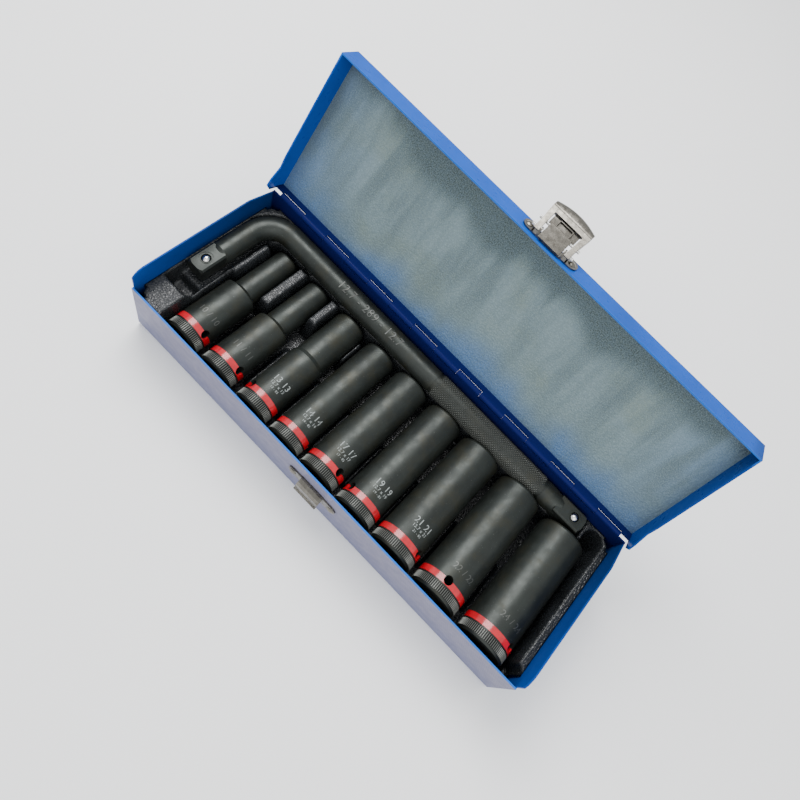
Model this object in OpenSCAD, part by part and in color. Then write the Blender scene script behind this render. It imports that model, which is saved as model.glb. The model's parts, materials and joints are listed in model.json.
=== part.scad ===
// Nine deep impact sockets and an L-shaped drive handle in a folded sheet-steel case, lid open.
// The origin is at the centre of the base's underside, +X along the case and +Y toward the hinge.
// Modules work in case coordinates: X from the left wall, Y from the front wall, Z from the underside.

/* [Case] */
// Length of the base along X
case_l = 317; // [316:1:325]
// Depth of the base along Y, over its front and back walls
case_w = 107; // [107:0.5:110]
// Height of the base's front wall
front_h = 51.2; // [49:0.1:52]
// Height of the base's end walls
end_h = 67.8; // [62:0.1:67.8]
// Height of the closed case
closed_h = 69; // [69:0.5:75]
// Thickness of the steel sheet
sheet_t = 1; // [0.8:0.1:1]
// Radius of the end walls' front top corner
end_corner_r = 10; // [4:1:14]
// Angle of the lid from closed
lid_open = 116.2; // [95:0.1:120]

/* [Hinge] */
// Height of the hinge line
hinge_z = 61; // [58:0.5:62]
// Diameter of the hinge wire
hinge_pin_d = 1.9; // [1.8:0.02:1.94]
// Number of knuckles, shared out between base and lid
knuckle_count = 15; // [9:2:21]
// Length left plain at each end of the hinge
hinge_plain = 6; // [5:1:20]

/* [Latch] */
// Centre of the latch and keeper along X
latch_x = 158; // [140:1:175]
// Width of the riveted plates
latch_plate_w = 40; // [36:1:44]
// Width of the lever over its arms
lever_w = 29; // [28:0.5:30]
// Length of the lever from its pivot to its lip
lever_l = 20; // [18:0.5:24]
// Angle of the raised lever above straight out
lever_rest = 50; // [20:1:60]
// Height of the keeper's centre
keeper_z = 31; // [26:0.5:36]

/* [Tray] */
// Height of the tray's top face
tray_top = 48.5; // [47:0.1:49]
// Wall of the formed tray
tray_t = 1.2; // [1:0.1:1.4]
// Height of the floor under the sockets
well_floor = 21.5; // [16:0.5:22]
// Height of the tops of the islands between the slim sockets
island_top = 45; // [38:0.5:46]

/* [Sockets] */
// Length of every socket
socket_l = 85; // [80:0.5:85]
// Distance from the front wall to the sockets' drive faces
socket_y = 4.4; // [4:0.1:4.6]
// Side of the square drive
drive_sq = 12.7; // [12.6:0.05:12.8]
// Depth of the square drive opening
drive_depth = 17; // [14:0.5:20]
// Depth of the hexagon
hex_depth = 18; // [10:1:24]
// Start of the red band behind the drive face
band_start = 6.9; // [6:0.1:8]
// Width of the red band
band_w = 3.9; // [3:0.1:4.5]
// Depth of the band's groove
groove_d = 1.6; // [1:0.1:2]
// Pitch of the axial knurl
knurl_pitch = 1.3; // [1.1:0.1:2]
// Diameter of the retaining cross hole
cross_d = 5.6; // [4:0.1:6]

/* [Handle] */
// Diameter of the bar
bar_d = 15.5; // [14:0.1:15.5]
// Radius of the bend at the bar's centre line
bend_r = 18; // [16:0.5:20]
// Height of the bar's centre line
bar_z = 48; // [48:0.5:50]
// Distance of the short arm from the left wall
short_x = 11; // [11:0.1:12]
// Distance of the long arm from the front wall
long_y = 97.6; // [97.5:0.1:98]
// Front end of the short arm
short_end = 35.5; // [33:0.5:40]
// Right end of the long arm
long_end = 292; // [285:0.5:292]
// Start of the knurled grip
grip_start = 164; // [150:1:180]
// End of the knurled grip
grip_end = 257.5; // [240:0.5:260]
// Diameter of the detent balls
ball_d = 6; // [5:0.1:6.4]
// Height of a ball above its face
ball_out = 1.2; // [0.8:0.1:1.5]

/* [Hidden] */
$fn = 48;
// Sockets from left to right: opening across flats, outside diameters, place and turn of the cross hole
sizes = [10, 11, 13, 14, 17, 19, 21, 22, 24];
drive_ds = [25.5, 25.7, 25.2, 24.5, 26.9, 27.9, 30.6, 32.6, 33.2];
nose_ds = [18, 18.9, 23.2, 24.1, 26.9, 27.6, 30.6, 31.6, 32.9];
socket_xs = [36.3, 66.4, 97.2, 125.3, 153.9, 184.4, 216.2, 251.2, 289];
hole_turns = [52, 55, -50, -95, 42, -55, 55, -4, 50];
step_at = 44.9;
stepped_count = 3;
short_taper = 2.6;
long_taper = 37;
nose_round = 2;
hinge_y = case_w + 1;
knuckle_bore = 2;
knuckle_d = 4;
knuckle_gap = 0.16;
knuckle_run = case_l - 2 * hinge_plain;
knuckle_l = knuckle_run / knuckle_count;
back_h = hinge_z;
lid_gap = 0.3;
lid_x0 = -lid_gap - sheet_t;
lid_x1 = case_l + lid_gap + sheet_t;
lid_rim = front_h + 0.2;
pin_fit = 0.1;
rest_gap = 0.03;
tall = 100;
ball_hole_d = ball_d + 0.2;
spring_z0 = bar_z - 2.6;
ball_z = bar_z + drive_sq / 2 + ball_out - ball_d / 2;
short_ball_y = 44;
long_ball_x = 284.5;
pivot_y = -4;
pivot_z = 57;
latch_plate_z = 60;
claw_pin_out = 6;
lever_pin_d = 2;
rivet_reach = 16;

steel_blue = [0.05, 0.22, 0.55];
nickel = [0.72, 0.70, 0.68];
black_plastic = [0.05, 0.05, 0.05];
phosphate = [0.19, 0.21, 0.21];
band_red = [0.80, 0.14, 0.18];
bright_steel = [0.80, 0.80, 0.80];

// ---- Frames -------------------------------------------------------------------------------------

// Case coordinates in the part's own frame.
module in_case() {
    translate([-case_l / 2, -case_w / 2, 0]) children();
}

// A piece drawn as on the closed lid, swung open with it.
module in_lid() {
    in_case()
    translate([0, hinge_y, hinge_z])
    rotate([-lid_open, 0, 0])
    translate([0, -hinge_y, -hinge_z])
    children();
}

// A piece drawn with the lever straight out along -Y from its pivot at the origin, raised with it.
module on_lever() {
    in_lid()
    translate([latch_x, pivot_y, pivot_z])
    rotate([-lever_rest, 0, 0])
    children();
}

// A YZ profile drawn as XY, swept along X from x0 to x1.
module along_x(x0, x1) {
    translate([x0, 0, 0])
    rotate([90, 0, 90])
    linear_extrude(x1 - x0) children();
}

// A rod along X from x0 to x1.
module rod_x(d, x0, x1) {
    translate([x0, 0, 0]) rotate([0, 90, 0]) cylinder(d = d, h = x1 - x0);
}

// A rectangle with rounded corners.
module round_rect(x0, x1, y0, y1, r) {
    translate([x0 + r, y0]) square([x1 - x0 - 2 * r, y1 - y0]);
    translate([x0, y0 + r]) square([x1 - x0, y1 - y0 - 2 * r]);
    for (x = [x0 + r, x1 - r], y = [y0 + r, y1 - r]) translate([x, y]) circle(r);
}

// ---- Case ---------------------------------------------------------------------------------------

// Outline of an end wall: rounded at the front, sloping down to the hinge line at the back.
module end_outline() {
    foot_r = 3;
    slope_y = case_w - 21.8;
    back_y = case_w - 1.6;
    polygon([[foot_r, 0], [case_w - foot_r, 0], [case_w, foot_r], [case_w, back_h],
             [back_y, back_h], [slope_y, end_h], [end_corner_r, end_h],
             [0, end_h - end_corner_r], [0, foot_r]]);
    translate([end_corner_r, end_h - end_corner_r]) circle(end_corner_r);
    translate([foot_r, foot_r]) circle(foot_r);
    translate([case_w - foot_r, foot_r]) circle(foot_r);
}

// Knuckles of one sheet: even ones belong to the base, odd ones to the lid.
function knuckle_x(i) = hinge_plain + i * knuckle_l;

module knuckle_rings(first) {
    for (i = [first:2:knuckle_count - 1])
        translate([0, hinge_y, hinge_z])
        rod_x(knuckle_d, knuckle_x(i) + knuckle_gap / 2, knuckle_x(i + 1) - knuckle_gap / 2);
}

module knuckle_bores() {
    translate([0, hinge_y, hinge_z]) rod_x(knuckle_bore, -5, case_l + 5);
}

// Room cut in one sheet for the other sheet's knuckles.
module knuckle_notches(first) {
    notch_r = knuckle_d / 2 + knuckle_gap;
    for (i = [first:2:knuckle_count - 1])
        translate([knuckle_x(i) - knuckle_gap / 2, case_w - 3, hinge_z - notch_r])
        cube([knuckle_l + knuckle_gap, 6, 2 * notch_r]);
}

module base_shell() {
    color(steel_blue) in_case() difference() {
        union() {
            difference() {
                along_x(0, case_l) end_outline();
                // The inside, open at the top, and the walls cut down to their own heights.
                translate([sheet_t, sheet_t, sheet_t])
                cube([case_l - 2 * sheet_t, case_w - 2 * sheet_t, tall]);
                translate([sheet_t, -1, front_h]) cube([case_l - 2 * sheet_t, case_w / 2, tall]);
                translate([sheet_t, case_w / 2, back_h]) cube([case_l - 2 * sheet_t, case_w, tall]);
                // The end walls stand back above the rim, where the lid's front flange closes.
                translate([-1, -1, front_h]) cube([case_l + 2, 1 + sheet_t + lid_gap, tall]);
                knuckle_notches(1);
            }
            knuckle_rings(0);
        }
        knuckle_bores();
    }
}

// Outline of the lid's end flange, with an ear that covers the end wall's slope by the hinge.
module flange_outline() {
    top_r = 1.5;
    ear_y = case_w - 9;
    polygon([[0, lid_rim], [case_w - 28, lid_rim + 1.4], [case_w - 19, lid_rim + 2.6],
             [ear_y, lid_rim - 0.8], [case_w - 4, lid_rim - 1.2], [case_w, lid_rim + 3],
             [case_w, closed_h - top_r], [case_w - top_r, closed_h], [top_r, closed_h],
             [0, closed_h - top_r]]);
    translate([top_r, closed_h - top_r]) circle(top_r);
    translate([case_w - top_r, closed_h - top_r]) circle(top_r);
}

module lid_shell() {
    inside_x = case_l + 2 * lid_gap;
    color(steel_blue) in_lid() difference() {
        union() {
            difference() {
                along_x(lid_x0, lid_x1) flange_outline();
                translate([-lid_gap, sheet_t, 0])
                cube([inside_x, case_w - 2 * sheet_t, closed_h - sheet_t]);
                // The front flange ends at the rim and the back flange at the knuckles.
                translate([-lid_gap, -1, 0]) cube([inside_x, case_w / 2, lid_rim]);
                translate([-lid_gap, case_w / 2, 0]) cube([inside_x, case_w, hinge_z]);
                for (x = [-lid_gap, case_l - hinge_plain])
                    translate([x, case_w - 3, 0])
                    cube([hinge_plain + lid_gap, 6, hinge_z + lid_gap]);
                knuckle_notches(0);
            }
            knuckle_rings(1);
        }
        knuckle_bores();
    }
}

module hinge_pin() {
    color(bright_steel) in_case() translate([0, hinge_y, hinge_z])
    rod_x(hinge_pin_d, hinge_plain + 0.5, case_l - hinge_plain - 0.5);
}

// ---- Latch and keeper ---------------------------------------------------------------------------

// Plate with rounded ends and a rivet hole at each, drawn flat: X along, Y up, Z out of the wall.
module rivet_plate(w, h, t) {
    difference() {
        linear_extrude(t) round_rect(-w / 2, w / 2, -h / 2, h / 2, h / 2 - 0.5);
        for (s = [-1, 1]) translate([s * rivet_reach, 0, -1]) cylinder(d = 3, h = t + 2);
    }
}

// Two rivets with domed heads over a plate of thickness t.
module rivet_pair(t) {
    for (s = [-1, 1]) translate([s * rivet_reach, 0, 0]) {
        translate([0, 0, 0.02]) cylinder(d = 2.9, h = t);
        translate([0, 0, t + 0.02]) intersection() {
            translate([0, 0, -2.6]) sphere(d = 7.6);
            cylinder(d = 5.4, h = 2);
        }
    }
}

module on_front_wall(z) {
    in_case() translate([latch_x, -0.02, z]) rotate([90, 0, 0]) children();
}

module on_flange(z) {
    in_lid() translate([latch_x, -0.02, z]) rotate([90, 0, 0]) children();
}

// Riveted plate with a raised hook whose lip turns down at the bottom.
module keeper_plate() {
    hook_w = 18;
    hook_out = 4.2;
    color(nickel) on_front_wall(keeper_z) union() {
        rivet_plate(39, 9.4, 1);
        rotate([90, 0, 90]) translate([0, 0, -hook_w / 2]) linear_extrude(hook_w)
            polygon([[4.7, 0.4], [4.7, 1.4], [3.2, 3.2], [1.6, hook_out], [-4.6, hook_out],
                     [-6.2, hook_out + 0.5], [-6.9, hook_out + 1.5], [-6.2, hook_out + 2],
                     [-5.2, hook_out + 1.1], [2, hook_out + 1], [4, hook_out - 0.4], [5.7, 1.8],
                     [5.7, 0.4]]);
    }
}

module keeper_rivets() {
    color(nickel) on_front_wall(keeper_z) rivet_pair(1);
}

// Plate on the lid's flange with two lugs that carry the lever's pivot.
module latch_plate() {
    lug_x = 9;
    lug_t = 1;
    lug_r = 2.2;
    lug_h = 6;
    color(nickel) union() {
        on_flange(latch_plate_z) rivet_plate(latch_plate_w, 11, 1);
        in_lid() for (s = [-1, 1])
            translate([latch_x + s * lug_x - lug_t / 2, 0, 0]) difference() {
                along_x(0, lug_t) union() {
                    translate([pivot_y, pivot_z - lug_r]) square([-pivot_y - 0.3, lug_h]);
                    translate([pivot_y, pivot_z]) circle(lug_r);
                }
                translate([0, pivot_y, pivot_z]) rod_x(lever_pin_d + pin_fit, -1, lug_t + 1);
            }
    }
}

module latch_rivets() {
    color(nickel) on_flange(latch_plate_z) rivet_pair(1);
}

module latch_pivot() {
    color(bright_steel) on_lever() rod_x(lever_pin_d, -lever_w / 2 - 0.6, lever_w / 2 + 0.6);
}

// U-shaped lever: two arms on the pivot, a crossbar, and a lip that curls out at the far end.
module latch_lever() {
    arm_t = 1.2;
    arm_h = 4.6;
    bar_from = lever_l - 6;
    lip_r = 3;
    color(nickel) on_lever() difference() {
        union() {
            for (s = [-1, 1]) translate([s * (lever_w - arm_t) / 2 - arm_t / 2, 0, 0])
                along_x(0, arm_t) union() {
                    circle(d = arm_h);
                    translate([-lever_l, -arm_h / 2]) square([lever_l, arm_h]);
                }
            // Crossbar across the arms' outer face, and the curled lip beyond it.
            along_x(-lever_w / 2, lever_w / 2) {
                translate([-lever_l, arm_h / 2 - 1]) square([lever_l - bar_from, 1.2]);
                translate([-lever_l, -arm_h / 2]) square([1.2, arm_h]);
                difference() {
                    translate([-lever_l, arm_h / 2 + lip_r - 1]) circle(lip_r);
                    translate([-lever_l, arm_h / 2 + lip_r - 1]) circle(lip_r - 1);
                    translate([-lever_l, arm_h / 2 - 0.9]) square([lip_r * 2, lip_r * 2]);
                    translate([-lever_l - 0.01, arm_h / 2 + lip_r]) square([lip_r * 2, lip_r * 2]);
                }
            }
        }
        rod_x(lever_pin_d + pin_fit, -lever_w, lever_w);
        translate([0, -claw_pin_out, 0]) rod_x(1.8, -lever_w, lever_w);
    }
}

module claw_pin() {
    color(bright_steel) on_lever()
    translate([0, -claw_pin_out, 0]) rod_x(1.78, -lever_w / 2 - 0.4, lever_w / 2 + 0.4);
}

// Flat claw on the claw pin: a rolled eye, a plate and a rectangular loop that hooks the keeper.
module latch_claw() {
    claw_w = 15;
    claw_l = 11;
    color(nickel) on_lever() difference() {
        union() {
            translate([0, -claw_pin_out, 0]) rod_x(3.6, -claw_w / 2, claw_w / 2);
            translate([-claw_w / 2, -claw_pin_out - claw_l, -1.8])
            cube([claw_w, claw_l, 1.2]);
            translate([-claw_w / 2, -claw_pin_out - claw_l, -1.8])
            cube([claw_w, 1.2, 2.6]);
        }
        translate([0, -claw_pin_out, 0]) rod_x(1.88, -claw_w, claw_w);
        translate([-claw_w / 2 + 2.5, -claw_pin_out - claw_l + 2, -3])
        cube([claw_w - 5, 4.4, 6]);
    }
}

// ---- Tray ---------------------------------------------------------------------------------------

bend_x = short_x + bend_r;
bend_y = long_y - bend_r;

// An island [x0, x1, y0, y1, top] that stays standing in the well, drawn smaller by g all round.
module island(x0, x1, y0, y1, top, g) {
    if (x1 - x0 > 2 * g + 0.5)
        translate([x0 + g, y0 + g, 0]) cube([x1 - x0 - 2 * g, y1 - y0 - 2 * g, top - g]);
}

module islands(g) {
    island(22, 26.2, 53.5, 84, island_top, g);
    island(46.4, 55.8, 53.5, 95, island_top, g);
    island(76.9, 84.6, 66, 95, island_top, g);
    island(109.6, 111.7, 66, 86, island_top, g);
    // Low ribs between neighbouring drive ends.
    rib_w = 4;
    for (i = [0:len(sizes) - 2]) {
        gap_x = (socket_xs[i] + drive_ds[i] / 2 + socket_xs[i + 1] - drive_ds[i + 1] / 2) / 2;
        island(gap_x - rib_w / 2, gap_x + rib_w / 2, 12, 50, well_floor + 5, g);
    }
}

// Outline of the handle's channel, grown by g.
module channel_plan(g) {
    side = bar_d / 2 + 1.4;
    left = short_x - bar_d / 2 - 0.85 - g;
    translate([left, 21.5 - g]) square([short_x + side + g - left, bend_y - 21.5 + g]);
    translate([bend_x, long_y - side + 0.6 - g]) square([long_end + 1 - bend_x + g, 30]);
    intersection() {
        translate([left, bend_y]) square([bend_x - left, 40]);
        difference() {
            translate([bend_x, bend_y]) circle(bend_r + side + g - 0.2);
            translate([bend_x, bend_y]) circle(bend_r - side - g);
        }
    }
}

// All pockets, grown by g for the underside.
module pockets(g) {
    channel_floor = bar_z - bar_d / 2 - rest_gap;
    well_back = socket_y + socket_l + 1.8;
    difference() {
        union() {
            translate([0, 0, well_floor - g]) linear_extrude(tall)
                round_rect(22.8 - g, 309.5 + g, 2.5 - g, well_back + g, 2.5 + g);
            translate([0, 0, well_floor - g]) linear_extrude(tall)
                round_rect(298.5 - g, 309.5 + g, 60, 102.8 + g, 5 + g);
        }
        islands(g);
    }
    translate([0, 0, 30 - g]) linear_extrude(tall) round_rect(300, 314 + g, 2.5 - g, 11 + g, 2 + g);
    translate([0, 0, channel_floor - g]) linear_extrude(tall) channel_plan(g);
    // Shallow relief under the bands, which stand proud of the sockets.
    translate([0, 0, well_floor - 0.5 - g]) linear_extrude(tall)
        round_rect(24 - g, 308 + g, socket_y + band_start - 1 - g,
                   socket_y + band_start + band_w + 1 + g, 1);
    // Lower saddle between the handle's square and the first socket, and the level inside the bend.
    translate([0, 0, 42 - g]) linear_extrude(tall)
        round_rect(short_x + 7 - g, 24, 23 - g, 50 + g, 2 + g);
    translate([0, 0, island_top - g]) linear_extrude(tall)
        round_rect(short_x + 7 - g, 24, 48 - g, 92 + g, 2 + g);
    translate([0, 0, 34 - g]) linear_extrude(tall)
        round_rect(3.6 - g, short_x + 9 + g, 22.5 - g, 31 + g, 2 + g);
}

module tray_block(inset, z0, z1) {
    side_gap = sheet_t + 0.3 + inset;
    translate([0, 0, z0]) linear_extrude(z1 - z0)
        round_rect(side_gap, case_l - side_gap, side_gap, case_w - side_gap, 6 - inset);
}

module tray_insert() {
    color(black_plastic) in_case() difference() {
        tray_block(0, sheet_t + 0.02, tray_top);
        pockets(0);
        difference() {
            tray_block(tray_t, 0, tray_top - tray_t);
            pockets(tray_t);
        }
    }
}

// ---- Handle -------------------------------------------------------------------------------------

// Squared end of the bar along +Z from 0 to l, with broken edges and a chamfered tip.
module square_end(l) {
    edge_d = drive_sq * 1.3;
    intersection() {
        translate([-drive_sq / 2, -drive_sq / 2, 0]) cube([drive_sq, drive_sq, l]);
        union() {
            cylinder(d = edge_d, h = l - 1.2);
            translate([0, 0, l - 1.2]) cylinder(d1 = edge_d, d2 = edge_d - 3, h = 1.2);
        }
    }
}

// Hole for a detent ball and its spring, with a shallow ring round it.
module ball_hole() {
    translate([0, 0, spring_z0 - 0.1]) cylinder(d = ball_hole_d, h = tall);
    translate([0, 0, bar_z + drive_sq / 2 - 0.35]) difference() {
        cylinder(d = ball_d + 3, h = 2);
        translate([0, 0, -1]) cylinder(d = ball_d + 1.2, h = 4);
    }
}

module handle_bar() {
    sq_l = 19;
    shoulder = 17.5;
    taper_start = grip_end + 8;
    color(phosphate) in_case() difference() {
        translate([0, 0, bar_z]) union() {
            // Short arm: squared end, shoulder and bar.
            translate([short_x, short_end + sq_l, 0]) rotate([90, 0, 0]) square_end(sq_l);
            translate([short_x, short_end + shoulder + 2, 0]) rotate([-90, 0, 0])
                cylinder(d = bar_d, h = bend_y - short_end - shoulder - 2);
            translate([short_x, short_end + shoulder, 0]) rotate([-90, 0, 0])
                cylinder(d1 = bar_d - 2, d2 = bar_d, h = 2);
            // Bend.
            translate([bend_x, bend_y, 0]) rotate([0, 0, 90])
                rotate_extrude(angle = 90) translate([bend_r, 0]) circle(d = bar_d);
            // Long arm: bar, grip, taper and squared end.
            translate([0, long_y, 0]) rod_x(bar_d, bend_x, taper_start);
            translate([taper_start, long_y, 0]) rotate([0, 90, 0])
                cylinder(d1 = bar_d, d2 = drive_sq + 0.6, h = 9);
            translate([long_end - sq_l - 2, long_y, 0]) rotate([0, 90, 0]) square_end(sq_l + 2);
        }
        translate([short_x, short_ball_y, 0]) ball_hole();
        translate([long_ball_x, long_y, 0]) ball_hole();
        // Shallow necks at the two ends of the grip.
        for (x = [grip_start - 1.4, grip_end])
            translate([x, long_y, bar_z]) difference() {
                rod_x(bar_d + 4, 0, 1.4);
                rod_x(bar_d - 0.9, -1, 3);
            }
    }
}

module detent_ball(x, y) {
    color(bright_steel) in_case() translate([x, y, ball_z]) sphere(d = ball_d);
}

// Small coil spring under a ball, its wire swept round a helix with a six-sided section.
module ball_spring(x, y) {
    coil_r = 2.3;
    wire_r = 0.28;
    turns = 4;
    steps = 16 * turns;
    sides = 6;
    lift = ball_z - ball_d / 2 - spring_z0 - 2 * wire_r;
    points = [for (i = [0:steps], k = [0:sides - 1])
        let (a = i * 360 * turns / steps,
             q = coil_r + wire_r * cos(k * 360 / sides),
             z = wire_r * (1 + sin(k * 360 / sides)) + lift * i / steps)
        [q * cos(a), q * sin(a), z]];
    walls = [for (i = [0:steps - 1], k = [0:sides - 1])
        let (m = (k + 1) % sides)
        [i * sides + k, (i + 1) * sides + k, (i + 1) * sides + m, i * sides + m]];
    first_end = [for (k = [0:sides - 1]) k];
    last_end = [for (k = [sides - 1:-1:0]) steps * sides + k];
    color(bright_steel) in_case() translate([x, y, spring_z0])
    polyhedron(points, concat(walls, [first_end, last_end]));
}

// ---- Sockets ------------------------------------------------------------------------------------

function drive_r(i) = drive_ds[i] / 2;
function nose_r(i) = nose_ds[i] / 2;
function axis_z(i) = well_floor + rest_gap + drive_r(i);

// A socket's own frame: +Z from the drive face to the nose, the cross hole along Y.
module in_socket(i) {
    in_case() translate([socket_xs[i], socket_y, axis_z(i)])
    rotate([-90, 0, 0]) rotate([0, 0, hole_turns[i]])
    children();
}

module cross_hole(i, d) {
    translate([0, 0, band_start + 3.2]) rotate([90, 0, 0])
    cylinder(d = d, h = drive_ds[i] + 4, center = true);
}

// Outline from the drive face to the nose, with the knurl's root and the band's groove.
module socket_outline(i) {
    r = drive_r(i);
    n = nose_r(i);
    root = r - 0.45;
    groove = r - groove_d;
    band_end = band_start + band_w;
    taper = i < stepped_count ? short_taper : long_taper;
    rounded = [for (a = [0:15:90]) [n - nose_round * (1 - cos(a)), socket_l - nose_round * (1 - sin(a))]];
    polygon(concat([[0, 0], [r - 1.3, 0], [root, 1.1], [root, band_start - 0.6],
                    [r - 0.1, band_start - 0.6], [r - 0.1, band_start], [groove, band_start],
                    [groove, band_end], [r, band_end], [r, step_at], [n, step_at + taper]],
                   rounded, [[0, socket_l]]));
}

// Ring of fine axial teeth round the drive end.
module knurl_teeth(i) {
    r = drive_r(i);
    count = round(PI * drive_ds[i] / knurl_pitch);
    tip = 0.25;
    difference() {
        linear_extrude(band_start - 2.4) polygon([for (k = [0:count - 1], side = [0:3])
            let (a = (k + [0, tip, 0.5, 0.5 + tip][side]) * 360 / count,
                 q = side < 2 ? r : r - 0.5)
            [q * cos(a), q * sin(a)]]);
        translate([0, 0, -1]) cylinder(r = r - 0.9, h = band_start);
    }
}

module socket(i) {
    flats = sizes[i] + 0.2;
    web_t = 5;
    bore_from = drive_depth + web_t;
    color(phosphate) in_socket(i) difference() {
        union() {
            rotate_extrude() socket_outline(i);
            translate([0, 0, 1.4]) knurl_teeth(i);
        }
        // Square drive with a lead-in.
        translate([-drive_sq / 2 - 0.05, -drive_sq / 2 - 0.05, -1])
        cube([drive_sq + 0.1, drive_sq + 0.1, drive_depth + 1]);
        translate([0, 0, -0.01]) cylinder(d1 = drive_sq + 3.2, d2 = drive_sq, h = 1.6);
        // Clearance bore, then the hexagon with a lead-in.
        translate([0, 0, bore_from]) cylinder(d = sizes[i], h = socket_l);
        translate([0, 0, socket_l - hex_depth])
        rotate([0, 0, 30]) cylinder(d = flats / cos(30), h = hex_depth + 1, $fn = 6);
        translate([0, 0, socket_l - 1.2]) cylinder(d1 = flats, d2 = flats + 2.6, h = 1.21);
        cross_hole(i, cross_d);
    }
}

// Red band in its groove, open where the cross hole passes.
module band(i) {
    color(band_red) in_socket(i) difference() {
        translate([0, 0, band_start + 0.02]) difference() {
            cylinder(r = drive_r(i) + 0.15, h = band_w - 0.04);
            translate([0, 0, -1]) cylinder(r = drive_r(i) - groove_d + 0.02, h = band_w + 2);
        }
        cross_hole(i, cross_d + 0.1);
    }
}

base_shell();
lid_shell();
hinge_pin();
tray_insert();
keeper_plate();
keeper_rivets();
latch_plate();
latch_rivets();
latch_pivot();
latch_lever();
claw_pin();
latch_claw();
handle_bar();
detent_ball(short_x, short_ball_y);  // ball_short
detent_ball(long_ball_x, long_y);  // ball_long
ball_spring(short_x, short_ball_y);  // spring_short
ball_spring(long_ball_x, long_y);  // spring_long
socket(0);  // socket_10
socket(1);  // socket_11
socket(2);  // socket_13
socket(3);  // socket_14
socket(4);  // socket_17
socket(5);  // socket_19
socket(6);  // socket_21
socket(7);  // socket_22
socket(8);  // socket_24
band(0);  // band_10
band(1);  // band_11
band(2);  // band_13
band(3);  // band_14
band(4);  // band_17
band(5);  // band_19
band(6);  // band_21
band(7);  // band_22
band(8);  // band_24
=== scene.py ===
"""Deep impact socket set in a folded steel case: finishes, formed tray, grip, marks and stage."""
import json
import math

import bpy
import bmesh
from bpy.props import FloatProperty, FloatVectorProperty, IntProperty, PointerProperty
from mathutils import Matrix, Vector, noise
from mathutils.bvhtree import BVHTree


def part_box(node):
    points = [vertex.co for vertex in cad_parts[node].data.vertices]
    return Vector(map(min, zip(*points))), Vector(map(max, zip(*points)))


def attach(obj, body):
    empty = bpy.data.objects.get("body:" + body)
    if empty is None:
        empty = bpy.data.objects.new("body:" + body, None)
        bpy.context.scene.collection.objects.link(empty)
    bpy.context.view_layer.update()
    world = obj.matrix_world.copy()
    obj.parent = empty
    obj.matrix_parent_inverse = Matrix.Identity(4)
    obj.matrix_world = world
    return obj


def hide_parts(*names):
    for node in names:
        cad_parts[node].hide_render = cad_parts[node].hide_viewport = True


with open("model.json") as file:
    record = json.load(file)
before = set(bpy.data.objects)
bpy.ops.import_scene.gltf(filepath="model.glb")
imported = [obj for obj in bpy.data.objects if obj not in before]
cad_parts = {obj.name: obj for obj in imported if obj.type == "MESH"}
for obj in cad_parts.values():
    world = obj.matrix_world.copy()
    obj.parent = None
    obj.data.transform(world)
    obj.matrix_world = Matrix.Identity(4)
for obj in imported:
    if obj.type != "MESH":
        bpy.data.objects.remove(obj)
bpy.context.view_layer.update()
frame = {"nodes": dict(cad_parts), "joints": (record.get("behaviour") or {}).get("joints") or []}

bl_info = {
    "name": "Socket Set In Case",
    "version": (1, 0, 0),
    "blender": (4, 5, 0),
    "location": "View3D > Sidebar > Socket Set",
    "description": "Finishes a deep impact socket set in its open steel case",
    "category": "Object",
}

MM = 0.001
NODES = frame["nodes"]
JOINTS = {j["name"]: j for j in frame["joints"]}
SIZES = sorted(int(n.split("_")[1]) for n in NODES if n.startswith("socket_"))

HINGE = Vector(JOINTS["lid_hinge"]["pos_m"])
LID_OPEN = math.radians(JOINTS["lid_hinge"]["range_deg"][1])
LEVER_PIVOT = Vector(JOINTS["lever_pivot"]["pos_m"])
BASE_LOW, BASE_HIGH = (Vector(c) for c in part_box("base_shell"))
FRONT_RIM = 51.2 * MM
CLOSED_TOP = 69.0 * MM

# The pressed lever: its angle above straight out, half widths at lip and foot, and start of its lip in mm.
LEVER_RAISED = math.radians(50)
ARM_OUTER = 14.4
ARM_FOOT = 13.2
LIP_FROM = 16.2
ARM_BACK = -2.4
ARM_INNER = 9.6
SHEET_MM = 1.0
LOW_FACE, HIGH_FACE = 1.3, 2.3

# The knurl on each socket, in mm ahead of its band, and the grip from the case's left wall.
KNURL_FROM = 5.6
KNURL_TO = 0.9
GRIP_FROM = 164.0 * MM
GRIP_LENGTH = 93.5 * MM

# Turn of the marks round their sockets and round the bar.
LEAN = math.radians(-12)
RAISED_LEAN = math.radians(-14)

CAMERA_SHIFT = (-0.0970, -0.1132)


# ---- Shader helpers -------------------------------------------------------------------------------

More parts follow.
